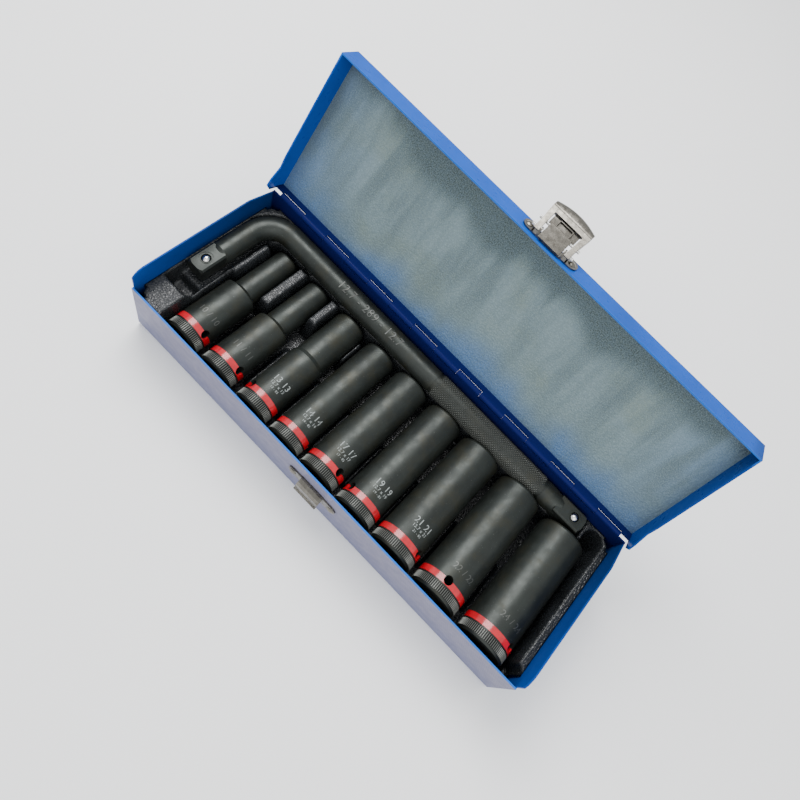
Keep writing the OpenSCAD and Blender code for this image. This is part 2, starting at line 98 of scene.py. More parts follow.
class Finish:
    """A material under construction: a Principled shader fed by object coordinates in millimetres."""

    def __init__(self, name):
        self.material = bpy.data.materials.new(name)
        self.material.use_nodes = True
        self.tree = self.material.node_tree
        self.shader = self.tree.nodes["Principled BSDF"]
        self.place = self.node("ShaderNodeTexCoord").outputs["Object"]
        self.mm = self.vector("SCALE", self.place, scale=1000.0)

    def node(self, kind, **settings):
        made = self.tree.nodes.new(kind)
        for key, value in settings.items():
            setattr(made, key, value)
        return made

    def feed(self, socket, value):
        if isinstance(value, bpy.types.NodeSocket):
            self.tree.links.new(value, socket)
        elif socket.type == "RGBA" and len(value) == 3:
            socket.default_value = (*value, 1.0)
        else:
            socket.default_value = value

    def vector(self, operation, a, b=None, scale=None):
        made = self.node("ShaderNodeVectorMath", operation=operation)
        self.feed(made.inputs[0], a)
        if b is not None:
            self.feed(made.inputs[1], b)
        if scale is not None:
            made.inputs["Scale"].default_value = scale
        return made.outputs["Value" if operation in {"DOT_PRODUCT", "LENGTH"} else "Vector"]

    def math(self, operation, a, b=0.0, c=0.0):
        made = self.node("ShaderNodeMath", operation=operation)
        for socket, value in zip(made.inputs, (a, b, c)):
            self.feed(socket, value)
        return made.outputs[0]

    def parts(self, vector):
        made = self.node("ShaderNodeSeparateXYZ")
        self.feed(made.inputs[0], vector)
        return made.outputs

    def join(self, x, y, z):
        made = self.node("ShaderNodeCombineXYZ")
        for socket, value in zip(made.inputs, (x, y, z)):
            self.feed(socket, value)
        return made.outputs[0]

    def noise(self, size_mm, detail=3.0, rough=0.5, at=None, stretch=(1, 1, 1)):
        """Noise with features of about size_mm."""
        made = self.node("ShaderNodeTexNoise")
        place = self.mm if at is None else at
        if stretch != (1, 1, 1):
            place = self.vector("MULTIPLY", place, stretch)
        self.feed(made.inputs["Vector"], place)
        made.inputs["Scale"].default_value = 1.0 / size_mm
        made.inputs["Detail"].default_value = detail
        made.inputs["Roughness"].default_value = rough
        return made.outputs["Fac"]

    def cells(self, size_mm, feature="F1", at=None):
        made = self.node("ShaderNodeTexVoronoi", feature=feature)
        self.feed(made.inputs["Vector"], self.mm if at is None else at)
        made.inputs["Scale"].default_value = 1.0 / size_mm
        return made.outputs["Distance"]

    def span(self, value, low, high, to_low=0.0, to_high=1.0, smooth=True):
        made = self.node("ShaderNodeMapRange")
        made.interpolation_type = "SMOOTHSTEP" if smooth else "LINEAR"
        for name, item in (("Value", value), ("From Min", low), ("From Max", high),
                           ("To Min", to_low), ("To Max", to_high)):
            self.feed(made.inputs[name], item)
        return made.outputs["Result"]

    def mix(self, factor, a, b, blend="MIX"):
        made = self.node("ShaderNodeMix", data_type="RGBA", blend_type=blend)
        self.feed(made.inputs["Factor"], factor)
        self.feed(made.inputs["A"], a)
        self.feed(made.inputs["B"], b)
        return made.outputs["Result"]

    def bump(self, height, strength, distance_mm, after=None):
        made = self.node("ShaderNodeBump")
        made.inputs["Strength"].default_value = strength
        made.inputs["Distance"].default_value = distance_mm * MM
        self.feed(made.inputs["Height"], height)
        if after is not None:
            self.feed(made.inputs["Normal"], after)
        return made.outputs["Normal"]

    def set(self, **values):
        for key, value in values.items():
            self.feed(self.shader.inputs[key.replace("_", " ").title().replace("Ior", "IOR")], value)
        return self

    def within(self, value, low, high, soft):
        """1 where value lies between low and high."""
        rise = self.span(value, low - soft, low)
        fall = self.span(value, high, high + soft, 1.0, 0.0)
        return self.math("MULTIPLY", rise, fall)


def wear(finish, colour, size_mm, amount):
    """Slow light and dark patches over a colour."""
    dark = tuple(c * (1.0 - amount) for c in colour)
    light = tuple(min(1.0, c * (1.0 + amount)) for c in colour)
    return finish.mix(finish.span(finish.noise(size_mm, 4.0, 0.6), 0.3, 0.7), dark, light)


def base_enamel(colours):
    """Blue enamel on the base, with a painted pale reflection and fine ribs on the front wall's outer face.
    """
    f = Finish("enamel_base")
    x, y, z = f.parts(f.mm)
    front_y = BASE_LOW.y / MM
    paint = wear(f, tuple(colours.enamel), 28.0, 0.10)
    # Painted shade: the inner walls darken towards the back with the deep enamel colour.
    inside = f.within(y, front_y + 0.7, BASE_HIGH.y / MM, 0.2)
    deep = f.span(y, front_y, front_y + 100.0, 0.0, 0.75)
    paint = f.mix(f.math("MULTIPLY", inside, deep), paint, tuple(colours.enamel_deep))
    # Painted shade: a navy band along the back, where the lid shades the hinge side.
    hinge_shade_band = f.span(y, BASE_HIGH.y / MM - 6.0, BASE_HIGH.y / MM - 5.0)
    paint = f.mix(hinge_shade_band, paint, tuple(colours.enamel_hinge_shade))
    # Painted reflection: the front wall's outer face is painted a pale lavender grey with fine ribs.
    rib = f.math("SINE", f.math("MULTIPLY", f.math("ADD", x, f.math("MULTIPLY", z, 0.35)), 4.2))
    ribs = f.mix(f.span(rib, -1.0, 1.0, 0.25, 0.75), tuple(c * 0.86 for c in colours.front_wall_reflection),
                 tuple(colours.front_wall_reflection))
    grime = f.span(f.noise(9.0, 5.0, 0.65), 0.35, 0.75, 0.0, 0.35)
    ribs = f.mix(grime, ribs, (0.15, 0.155, 0.22))
    # The painted reflection gets darker towards the bottom of the front wall.
    low_band = f.span(z, 2.0, 30.0, 0.45, 0.0)
    ribs = f.mix(low_band, ribs, (0.10, 0.12, 0.26))
    outer_front = f.math("MULTIPLY", f.span(y, front_y + 0.2, front_y + 0.5, 1.0, 0.0),
                         f.span(z, 50.6, 51.0, 1.0, 0.0))
    paint = f.mix(outer_front, paint, ribs)
    # Painted highlight: a bright line along the top of the front rim.
    rim_highlight_band = f.within(z, FRONT_RIM / MM - 0.25, FRONT_RIM / MM + 0.25, 0.1)
    rim_highlight_band = f.math("MULTIPLY", rim_highlight_band, f.span(y, front_y + 1.3, front_y + 1.6, 1.0, 0.0))
    paint = f.mix(rim_highlight_band, paint, tuple(colours.rim_highlight))
    f.set(base_color=paint, roughness=f.span(f.noise(6.0), 0.2, 0.8, 0.30, 0.46),
          specular_ior_level=0.06, normal=f.bump(f.noise(1.1, 2.0), 0.12, 0.12))
    return f.material


def lid_enamel(colours):
    """Blue enamel on the lid's flanges and outside, with painted shade at the hinge, a painted highlight on
    the rim, and a painted reflection of grey, blue and olive on the hammered paint inside its panel.
    """
    f = Finish("enamel_lid")
    from_hinge = f.vector("SUBTRACT", f.mm, tuple(HINGE / MM))
    up = (0.0, math.sin(LID_OPEN), math.cos(LID_OPEN))
    back = (0.0, math.cos(LID_OPEN), -math.sin(LID_OPEN))
    depth = f.math("ADD", f.vector("DOT_PRODUCT", from_hinge, up), HINGE.z / MM)
    reach = f.math("MULTIPLY", f.vector("DOT_PRODUCT", from_hinge, back), -1.0)
    x = f.parts(from_hinge)[0]
    flat = f.join(x, reach, 0.0)

    paint = wear(f, tuple(colours.enamel_lid), 30.0, 0.08)
    # Painted shade: the inner face of the right flange darkens towards its end, with the deep enamel colour.
    inner_flange = f.span(x, 0.0, 160.0, 0.0, 0.55)
    inner_end = f.span(x, 150.0, 158.6, 0.0, 1.0)
    paint = f.mix(f.math("MULTIPLY", inner_end, inner_flange), paint, tuple(colours.enamel_deep))
    # Painted shade: navy on the lid's rear flange by the hinge.
    hinge_shade_strip = f.span(reach, 2.4, 3.0, 1.0, 0.0)
    paint = f.mix(hinge_shade_strip, paint, tuple(colours.enamel_hinge_shade))

    # Painted reflection: the panel's blue edges, grey middle and olive patches stand for the surroundings
    # mirrored in the lid's paint.
    wander = f.span(f.noise(38.0, 2.0, 0.5, at=flat, stretch=(1.0, 0.15, 1.0)), 0.25, 0.75, -1.0, 1.0)
    tone = f.math("ADD", reach, f.math("MULTIPLY", wander, 9.0))
    panel = f.mix(f.span(tone, 2.0, 30.0), tuple(colours.panel_blue_reflection), tuple(colours.panel_grey_reflection))
    left_blue = f.math("MULTIPLY", f.span(x, -158.0, -105.0, 0.7, 0.0), f.span(reach, 20.0, 100.0, 1.0, 0.5))
    panel = f.mix(left_blue, panel, tuple(colours.panel_blue_reflection))
    right_blue = f.span(x, 105.0, 158.0, 0.0, 0.45)
    panel = f.mix(right_blue, panel, tuple(colours.panel_blue_reflection))
    olive = f.span(f.noise(46.0, 2.0, 0.5, at=flat), 0.48, 0.66, 0.0, 0.4)
    panel = f.mix(olive, panel, (0.17, 0.20, 0.13))
    # Painted reflection: dark streaks across the panel stand for the sockets mirrored in it.
    streak = f.span(f.noise(17.0, 3.0, 0.55, at=flat, stretch=(1.0, 0.14, 1.0)), 0.40, 0.66, 0.0, 0.85)
    streak = f.math("MULTIPLY", streak, f.span(reach, 8.0, 60.0, 0.25, 1.0))
    panel = f.mix(streak, panel, tuple(c * 0.46 for c in colours.panel_grey_reflection))
    edge = f.math("ADD", reach, f.math("MULTIPLY", wander, 9.0))
    bow = f.math("MULTIPLY", f.math("POWER", f.math("DIVIDE", f.math("ADD", x, -10.0), 158.0), 2.0), -16.0)
    shadow = f.span(f.math("ADD", edge, bow), 70.0, 88.0, 0.0, 0.92)
    panel = f.mix(shadow, panel, tuple(colours.panel_shadow))
    peel = f.cells(1.5, at=flat)
    speck = f.span(f.noise(0.7, 3.0, 0.7, at=flat), 0.38, 0.66, 0.0, 1.0)
    glint = tuple(min(1.0, c * 1.7) for c in colours.panel_grey_reflection)
    panel = f.mix(f.math("MULTIPLY", speck, 0.42), panel, glint)
    panel = f.mix(f.span(peel, 0.1, 0.75, 0.0, 0.28), panel, (0.10, 0.15, 0.19))

    inner = f.within(depth, CLOSED_TOP / MM - 1.25, CLOSED_TOP / MM - 0.75, 0.1)
    inner = f.math("MULTIPLY", inner, f.span(reach, 1.9, 2.1))
    # Painted highlight: a bright line along the lid's front rim.
    rim_highlight_line = f.span(depth, 51.6, 51.9, 1.0, 0.0)
    rim_highlight_line = f.math("MULTIPLY", rim_highlight_line, f.span(reach, 100.0, 104.0))
    paint = f.mix(f.math("MULTIPLY", rim_highlight_line, 0.6), paint, tuple(colours.rim_highlight))
    colour = f.mix(inner, paint, panel)
    smooth_bump = f.bump(f.noise(1.1, 2.0), 0.10, 0.12)
    height = f.math("MULTIPLY", inner, f.math("ADD", peel, f.noise(1.0, 3.0, at=flat)))
    f.set(base_color=colour, metallic=f.math("MULTIPLY", inner, 0.35),
          roughness=f.math("ADD", f.math("MULTIPLY", inner, 0.14),
                           f.span(f.noise(6.0), 0.2, 0.8, 0.24, 0.40)),
          specular_ior_level=0.06,
          normal=f.bump(height, 0.35, 0.5, after=smooth_bump))
    return f.material


def leather_plastic(colours):
    """Black formed plastic with a leather grain."""
    f = Finish("leather_plastic")
    grain = f.cells(1.5, feature="DISTANCE_TO_EDGE")
    crease = f.span(grain, 0.02, 0.22)
    fine = f.noise(0.55, 3.0, 0.6)
    colour = f.mix(f.span(f.noise(14.0, 4.0), 0.3, 0.7), tuple(colours.tray),
                   tuple(c * 2.0 for c in colours.tray))
    colour = f.mix(f.math("MULTIPLY", f.span(fine, 0.58, 0.8), 0.16), colour, (0.09, 0.10, 0.10))
    first = f.bump(crease, 0.55, 0.32)
    f.set(base_color=colour, roughness=f.span(f.noise(3.0), 0.3, 0.7, 0.22, 0.34),
          specular_ior_level=0.42, normal=f.bump(fine, 0.22, 0.12, after=first))
    return f.material


def phosphate(colours, name, shift, ring=None):
    """Dark oiled phosphate; ring is a knurl's axis, its centre, root and tip radii and two ends in mm, where
    painted shade darkens the roots and a painted highlight lightens the tips.
    """
    f = Finish(name)
    colour = wear(f, tuple(colours.phosphate), 16.0 + shift, 0.22)
    smear = f.span(f.noise(5.0 + shift * 0.2, 5.0, 0.65, stretch=(1.0, 0.25, 1.0)), 0.45, 0.8, 0.0, 0.35)
    colour = f.mix(smear, colour, tuple(c * 1.7 for c in colours.phosphate))
    dust = f.span(f.noise(0.8, 2.0), 0.66, 0.8, 0.0, 0.35)
    colour = f.mix(dust, colour, (0.17, 0.19, 0.18))
    brown = f.span(f.noise(11.0 + shift * 0.3, 4.0, 0.6), 0.45, 0.75, 0.0, 0.6)
    colour = f.mix(brown, colour, (0.032, 0.030, 0.018))
    if ring:
        axis, centre, centre_z, root, tip, start, end = ring
        x, y, z = f.parts(f.mm)
        side, run = (x, y) if axis == "Y" else (y, x)
        across = f.math("POWER", f.math("ADD", side, -centre), 2.0)
        up = f.math("POWER", f.math("ADD", z, -centre_z), 2.0)
        reach = f.math("SQRT", f.math("ADD", across, up))
        on_ring = f.within(run, start, end, 0.1)
        # Painted shade in the knurl's roots and a painted highlight on its tips.
        tip_highlight = f.math("MULTIPLY", on_ring, f.span(reach, root, tip))
        root_shade = f.math("MULTIPLY", on_ring, f.span(reach, root, tip, 0.85, 0.0))
        colour = f.mix(root_shade, colour, (0.004, 0.004, 0.004))
        colour = f.mix(tip_highlight, colour, (0.10, 0.105, 0.095))
    turned = f.noise(0.5, 2.0, stretch=(0.15, 2.2, 0.15))
    f.set(base_color=colour, metallic=0.55, roughness=f.span(f.noise(7.0, 4.0), 0.25, 0.75, 0.34, 0.50),
          specular_ior_level=0.5,
          normal=f.bump(turned, 0.10, 0.05, after=f.bump(f.noise(0.6, 3.0), 0.12, 0.08)))
    return f.material


def red_plastic(colours):
    f = Finish("red_band")
    colour = wear(f, tuple(colours.band), 6.0, 0.15)
    f.set(base_color=colour, roughness=f.span(f.noise(2.0), 0.3, 0.7, 0.14, 0.24),
          coat_weight=0.3, coat_roughness=0.05, normal=f.bump(f.noise(1.4), 0.15, 0.1))
    return f.material


def nickel_plate(colours, name="nickel_plate", share=1.0):
    f = Finish(name)
    colour = wear(f, tuple(c * share for c in colours.nickel), 7.0, 0.14)
    # Darker patches at random over the plate.
    dark_patches = f.span(f.noise(3.2, 5.0, 0.7), 0.45, 0.75, 0.0, 0.75)
    colour = f.mix(dark_patches, colour, (0.10 * share, 0.09 * share, 0.075 * share))
    f.set(base_color=colour, metallic=1.0, roughness=f.span(f.noise(2.5, 4.0), 0.3, 0.75, 0.16, 0.38),
          normal=f.bump(f.noise(0.9, 3.0), 0.12, 0.08))
    return f.material


def bright_steel(colours):
    f = Finish("bright_steel")
    colour = wear(f, tuple(colours.steel), 2.5, 0.12)
    f.set(base_color=colour, metallic=1.0, roughness=f.span(f.noise(1.2), 0.3, 0.7, 0.12, 0.26),
          normal=f.bump(f.noise(0.4), 0.08, 0.03))
    return f.material


def laser_grey(colours):
    """Pale laser-cut surface, worn through in specks."""
    f = Finish("laser_grey")
    speck = f.span(f.noise(0.35, 3.0, 0.7), 0.40, 0.60)
    f.set(base_color=f.mix(speck, tuple(c * 0.45 for c in colours.laser), tuple(colours.laser)),
          roughness=f.span(f.noise(1.0), 0.3, 0.7, 0.55, 0.75))
    return f.material


def floor_paint(colours):
    f = Finish("floor")
    colour = wear(f, tuple(colours.floor), 400.0, 0.012)
    f.set(base_color=colour, roughness=f.span(f.noise(60.0), 0.3, 0.7, 0.85, 0.95), specular_ior_level=0.1)
    return f.material


# ---- Mesh helpers -----------------------------------------------------------------------------------

def dress(obj, material):
    """Gives every face of an object one material."""
    obj.data.materials.clear()
    obj.data.materials.append(material)


def link_mesh(name, mesh, material, smooth=True):
    obj = bpy.data.objects.new(name, mesh)
    bpy.context.scene.collection.objects.link(obj)
    dress(obj, material)
    if smooth:
        mesh.shade_smooth()
    return obj


def mesh_from(name, verts, faces):
    mesh = bpy.data.meshes.new(name)
    mesh.from_pydata(verts, [], faces)
    mesh.update()
    return mesh


# ---- Settings ---------------------------------------------------------------------------------------

def colour_property(name, words, value):
    return FloatVectorProperty(name=name, description=words, default=value, subtype="COLOR", min=0, max=1)


class SOCKETSET_PG_colours(bpy.types.PropertyGroup):
    enamel: colour_property("Enamel", "Base enamel", (0.002, 0.050, 0.27))
    enamel_lid: colour_property("Lid enamel", "Lid enamel", (0.0, 0.062, 0.36))
    enamel_deep: colour_property("Deep enamel", "Enamel away from the light", (0.003, 0.026, 0.11))
    # Painted shade: navy standing for the shade along the hinge, on the base and on the lid.
    enamel_hinge_shade: colour_property("Hinge enamel", "Enamel along the hinge", (0.004, 0.008, 0.075))
    # Painted highlight: the bright line painted along the rims of the base and the lid.
    rim_highlight: colour_property("Rim", "Bright line on the rims", (0.02, 0.13, 0.50))
    # Painted reflection: the pale colour of the front wall's outer face stands for the bright surroundings
    # mirrored in it.
    front_wall_reflection: colour_property("Front wall", "Outer face of the front wall", (0.20, 0.195, 0.285))
    # Painted reflection: the lid panel's blue and grey stand for the surroundings mirrored in its paint.
    panel_blue_reflection: colour_property("Panel blue", "Lid panel near its edges", (0.075, 0.175, 0.38))
    panel_grey_reflection: colour_property("Panel grey", "Middle of the lid panel", (0.19, 0.255, 0.265))
    panel_shadow: colour_property("Panel shadow", "Lid panel at its free edge", (0.036, 0.046, 0.044))
    tray: colour_property("Tray", "Formed plastic", (0.008, 0.009, 0.010))
    phosphate: colour_property("Phosphate", "Sockets and handle", (0.021, 0.025, 0.022))
    band: colour_property("Band", "Ring bands", (0.42, 0.006, 0.014))
    nickel: colour_property("Nickel", "Latch and keeper", (0.17, 0.16, 0.14))
    steel: colour_property("Steel", "Balls and pins", (0.74, 0.73, 0.70))
    laser: colour_property("Laser", "Laser marks", (0.34, 0.37, 0.36))
    floor: colour_property("Floor", "Floor", (0.93, 0.93, 0.93))


class SOCKETSET_PG_tray(bpy.types.PropertyGroup):
    step: FloatProperty(name="Grid", description="Spacing of the formed sheet's grid",
                        default=0.85 * MM, unit="LENGTH")
    softening: IntProperty(name="Softening", description="Passes that round the formed edges",
                           default=2, min=0)
    grain: FloatProperty(name="Grain", description="Height of the leather grain", default=0.07 * MM,
                         unit="LENGTH")
    wall: FloatProperty(name="Wall", description="Thickness of the sheet", default=0.9 * MM, unit="LENGTH")


class SOCKETSET_PG_grip(bpy.types.PropertyGroup):
    depth: FloatProperty(name="Depth", description="Depth of the knurl", default=0.7 * MM, unit="LENGTH")
    along: IntProperty(name="Along", description="Diamonds along the grip", default=46, min=4)
    around: IntProperty(name="Around", description="Diamonds round the grip", default=26, min=4)


class SOCKETSET_PG_stage(bpy.types.PropertyGroup):
    lens: FloatProperty(name="Lens", description="Focal length on a 36 mm sensor", default=31.87)
    eye: FloatVectorProperty(name="Eye", description="Camera position", subtype="XYZ", unit="LENGTH",
                             default=(0.02762, -0.14839, 0.46470))
    aim: FloatVectorProperty(name="Aim", description="Camera rotation", subtype="EULER",
                             default=[math.radians(a) for a in (26.154, -18.551, 41.723)])
    key: FloatProperty(name="Key", description="Key light power", default=11.0, unit="POWER")
    fill: FloatProperty(name="Fill", description="Fill light power", default=5.0, unit="POWER")
    sky: FloatProperty(name="Sky", description="Strength of the surroundings", default=1.15)


class SOCKETSET_PG_settings(bpy.types.PropertyGroup):
    colours: PointerProperty(type=SOCKETSET_PG_colours)
    tray: PointerProperty(type=SOCKETSET_PG_tray)
    grip: PointerProperty(type=SOCKETSET_PG_grip)
    stage: PointerProperty(type=SOCKETSET_PG_stage)


# ---- Operators --------------------------------------------------------------------------------------

class SOCKETSET_OT_paint_case(bpy.types.Operator):
    """Paint the base and the lid"""
    bl_idname = "socketset.paint_case"
    bl_label = "Paint Case"

    def execute(self, context):
        colours = context.scene.socketset.colours
        dress(NODES["base_shell"], base_enamel(colours))
        dress(NODES["lid_shell"], lid_enamel(colours))
        return {"FINISHED"}


class SOCKETSET_OT_plate_fittings(bpy.types.Operator):
    """Plate the latch, the keeper, the hinge wire, the balls and their springs"""
    bl_idname = "socketset.plate_fittings"
    bl_label = "Plate Fittings"

    def execute(self, context):
        colours = context.scene.socketset.colours
        nickel = nickel_plate(colours)
        steel = bright_steel(colours)
        for name in ("keeper_plate", "keeper_rivets", "latch_plate", "latch_rivets"):
            dress(NODES[name], nickel)
        for name in ("hinge_pin", "latch_pivot", "claw_pin", "ball_short", "ball_long",
                     "spring_short", "spring_long"):
            dress(NODES[name], steel)
        return {"FINISHED"}


def lever_place(x, reach, out):
    """A point on the raised lever: x from its middle, reach from its pivot, out of its showing face."""
    turn = Matrix.Rotation(-LID_OPEN - LEVER_RAISED, 3, "X")
    return LEVER_PIVOT + turn @ Vector((x, -reach, -out))


def slab(bm, outline, low, high):
    """A closed slab on the lever over an outline of (x, reach) points, between two heights."""
    rings = [[bm.verts.new(lever_place(x * MM, r * MM, h * MM)) for x, r in outline] for h in (low, high)]
    bm.faces.new(rings[0][::-1])
    bm.faces.new(rings[1])
    count = len(outline)
    for i in range(count):
        j = (i + 1) % count
        bm.faces.new((rings[0][i], rings[0][j], rings[1][j], rings[1][i]))


def rect(x0, x1, r0, r1):
    return ((x0, r0), (x1, r0), (x1, r1), (x0, r1))


def finish_pressing(name, bm, material, body, node):
    """Turns pressed-metal geometry into a piece with broken edges that stands for its CAD node."""
    bmesh.ops.recalc_face_normals(bm, faces=bm.faces)
    mesh = bpy.data.meshes.new(name)
    bm.to_mesh(mesh)
    bm.free()
    piece = link_mesh(name, mesh, material, smooth=False)
    bevel = piece.modifiers.new("edge", "BEVEL")
    bevel.width = 0.22 * MM
    bevel.segments = 2
    bevel.limit_method = "ANGLE"
    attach(piece, body)
    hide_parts(node)


class SOCKETSET_OT_press_latch(bpy.types.Operator):
    """Press the latch's lever, with its arms, crossbar and rolled lip, and the claw that hangs in it"""
    bl_idname = "socketset.press_latch"
    bl_label = "Press Latch"

    def execute(self, context):
        nickel = bpy.data.materials["nickel_plate"]
        # Painted shade: the claw gets a darkened copy of the nickel plate, standing for the shade it hangs
        # in.
        dark = nickel_plate(context.scene.socketset.colours, "nickel_shaded", 0.30)
        bm = bmesh.new()
        for side in (-1, 1):
            arm = [(ARM_INNER, ARM_BACK), (ARM_FOOT, ARM_BACK), (ARM_FOOT, 4.0), (ARM_OUTER, LIP_FROM),
                   (10.4, LIP_FROM)]
            slab(bm, [(side * x, r) for x, r in arm][::side], LOW_FACE, HIGH_FACE)
            wall = [(ARM_FOOT - SHEET_MM, ARM_BACK), (ARM_FOOT, ARM_BACK), (ARM_FOOT, 4.0),
                    (ARM_OUTER, LIP_FROM), (ARM_OUTER - SHEET_MM, LIP_FROM), (ARM_FOOT - SHEET_MM, 4.0)]
            slab(bm, [(side * x, r) for x, r in wall][::side], -2.2, 1.4)
        slab(bm, rect(-10.6, 10.6, 12.9, LIP_FROM), LOW_FACE, HIGH_FACE)
        slab(bm, rect(-10.6, 10.6, 12.9, 13.8), -1.0, 1.4)
        self.roll_lip(bm)
        finish_pressing("pressed_lever", bm, nickel, "lever", "latch_lever")
        bm = bmesh.new()
        slab(bm, rect(-7.8, 7.8, -4.6, 7.4), 0.7, 1.6)
        slab(bm, rect(-9.4, 9.4, 6.6, 12.85), 0.1, 0.5)
        for x0, x1, r0, r1 in ((-5.4, 5.4, 11.4, 12.3), (-5.4, -4.4, 7.3, 12.3), (4.4, 5.4, 7.3, 12.3)):
            slab(bm, rect(x0, x1, r0, r1), 0.7, 1.5)
        finish_pressing("pressed_claw", bm, dark, "claw", "latch_claw")
        return {"FINISHED"}

    def roll_lip(self, bm):
        """Rolled lip beyond the crossbar, bowed outward in the middle and turned down at its edge."""
        across, over, thick = 24, 8, 0.9
        layers = []
        for lift in (0.0, -thick):
            grid = []
            for i in range(across + 1):
                x = ARM_OUTER * (2 * i / across - 1)
                bow = 4.2 + 2.8 * (1 - (x / ARM_OUTER) ** 2)
                column = []
                for j in range(over + 1):
                    angle = math.radians(88) * j / over
                    reach = LIP_FROM + bow * math.sin(angle) + lift * math.sin(angle)
                    out = 2.3 - 3.4 * (1 - math.cos(angle)) + lift * math.cos(angle)
                    column.append(bm.verts.new(lever_place(x * MM, reach * MM, out * MM)))
                grid.append(column)
            layers.append(grid)
        top, under = layers
        for i in range(across):
            for j in range(over):
                bm.faces.new((top[i][j], top[i + 1][j], top[i + 1][j + 1], top[i][j + 1]))
                bm.faces.new((under[i][j + 1], under[i + 1][j + 1], under[i + 1][j], under[i][j]))
            for j in (0, over):
                bm.faces.new((top[i][j], under[i][j], under[i + 1][j], top[i + 1][j]))
        for i in (0, across):
            for j in range(over):
                bm.faces.new((top[i][j], top[i][j + 1], under[i][j + 1], under[i][j]))


class SOCKETSET_OT_form_tray(bpy.types.Operator):
    """Form the tray as one sheet drawn over its pockets, with rounded edges"""
    bl_idname = "socketset.form_tray"
    bl_label = "Form Tray"

    def execute(self, context):
        settings = context.scene.socketset
        low, high = (Vector(c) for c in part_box("tray_insert"))
        source = NODES["tray_insert"]
        tree = BVHTree.FromPolygons([v.co[:] for v in source.data.vertices],
                                    [p.vertices[:] for p in source.data.polygons])
        across = round((high.x - low.x) / settings.tray.step)
        deep = round((high.y - low.y) / settings.tray.step)
        edge = 0.05 * MM
        wall = settings.tray.wall
        xs = [low.x + edge + (high.x - low.x - 2 * edge) * i / across for i in range(across + 1)]
        ys = [low.y + edge + (high.y - low.y - 2 * edge) * j / deep for j in range(deep + 1)]
        heights = []
        for x in xs:
            column = []
            for y in ys:
                hit = tree.ray_cast(Vector((x, y, high.z + 0.01)), Vector((0, 0, -1)))[0]
                column.append(hit.z if hit else None)
            heights.append(column)
        for i in range(across + 1):
            for j in range(deep + 1):
                if heights[i][j] is None:
                    heights[i][j] = low.z + wall
        for _ in range(settings.tray.softening):
            heights = soften(heights)
        grain = settings.tray.grain
        for i, x in enumerate(xs):
            for j, y in enumerate(ys):
                at = Vector((x, y, heights[i][j])) / MM
                heights[i][j] += grain * (noise.noise(at / 1.9) + 0.5 * noise.noise(at / 0.95))
        count = deep + 1
        verts = [(x, y, heights[i][j]) for i, x in enumerate(xs) for j, y in enumerate(ys)]
        faces = [(i * count + j, (i + 1) * count + j, (i + 1) * count + j + 1, i * count + j + 1)
                 for i in range(across) for j in range(deep)]
        mesh = mesh_from("formed_tray", verts, faces)
        tray = link_mesh("formed_tray", mesh, leather_plastic(settings.colours))
        drop_skirt(mesh, low.z + edge)
        thicken(tray, wall)
        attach(tray, "base")
        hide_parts("tray_insert")
        return {"FINISHED"}


def soften(heights):
    """One pass of a 3 by 3 average over a grid of heights."""
    rows, columns = len(heights), len(heights[0])
    result = [list(row) for row in heights]
    for i in range(1, rows - 1):
        above, row, below = heights[i - 1], heights[i], heights[i + 1]
        for j in range(1, columns - 1):
            result[i][j] = (above[j - 1] + above[j] * 2 + above[j + 1] + row[j - 1] * 2 + row[j] * 4
                            + row[j + 1] * 2 + below[j - 1] + below[j] * 2 + below[j + 1]) / 16
    return result


def drop_skirt(mesh, foot):
    """Pulls a skirt down from the sheet's outer edge to the foot."""
    bm = bmesh.new()
    bm.from_mesh(mesh)
    border = [e for e in bm.edges if e.is_boundary]
    pulled = bmesh.ops.extrude_edge_only(bm, edges=border)["geom"]
    for vert in (g for g in pulled if isinstance(g, bmesh.types.BMVert)):
        vert.co.z = foot
    bmesh.ops.recalc_face_normals(bm, faces=bm.faces)
    if sum(f.normal.z * f.calc_area() for f in bm.faces) < 0:
        bmesh.ops.reverse_faces(bm, faces=bm.faces)
    bm.to_mesh(mesh)
    bm.free()
    mesh.shade_smooth()


def thicken(obj, wall):
    """Gives a sheet its thickness below the face that shows."""
    solid = obj.modifiers.new("wall", "SOLIDIFY")
    solid.thickness = wall
    solid.offset = -1.0
    graph = bpy.context.evaluated_depsgraph_get()
    baked = bpy.data.meshes.new_from_object(obj.evaluated_get(graph))
    obj.modifiers.clear()
    obj.data = baked
    baked.shade_smooth()


class SOCKETSET_OT_finish_sockets(bpy.types.Operator):
    """Give the sockets and the handle their phosphate, and the bands their gloss"""
    bl_idname = "socketset.finish_sockets"
    bl_label = "Finish Sockets"

    def execute(self, context):
        colours = context.scene.socketset.colours
        red = red_plastic(colours)
        for index, size in enumerate(SIZES):
            low, high = (Vector(c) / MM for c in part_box(f"socket_{size}"))
            band_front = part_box(f"band_{size}")[0][1] / MM
            radius = (high.z - low.z) / 2
            # The ring places painted shade in the knurl roots and a painted highlight on its tips.
            ring = ("Y", (low.x + high.x) / 2, (low.z + high.z) / 2, radius - 0.30, radius - 0.08,
                    band_front - KNURL_FROM, band_front - KNURL_TO)
            dress(NODES[f"socket_{size}"], phosphate(colours, f"phosphate_{size}", index * 1.3, ring))
            dress(NODES[f"band_{size}"], red)
        dress(NODES["handle_bar"], phosphate(colours, "phosphate_bar", 5.0))
        return {"FINISHED"}


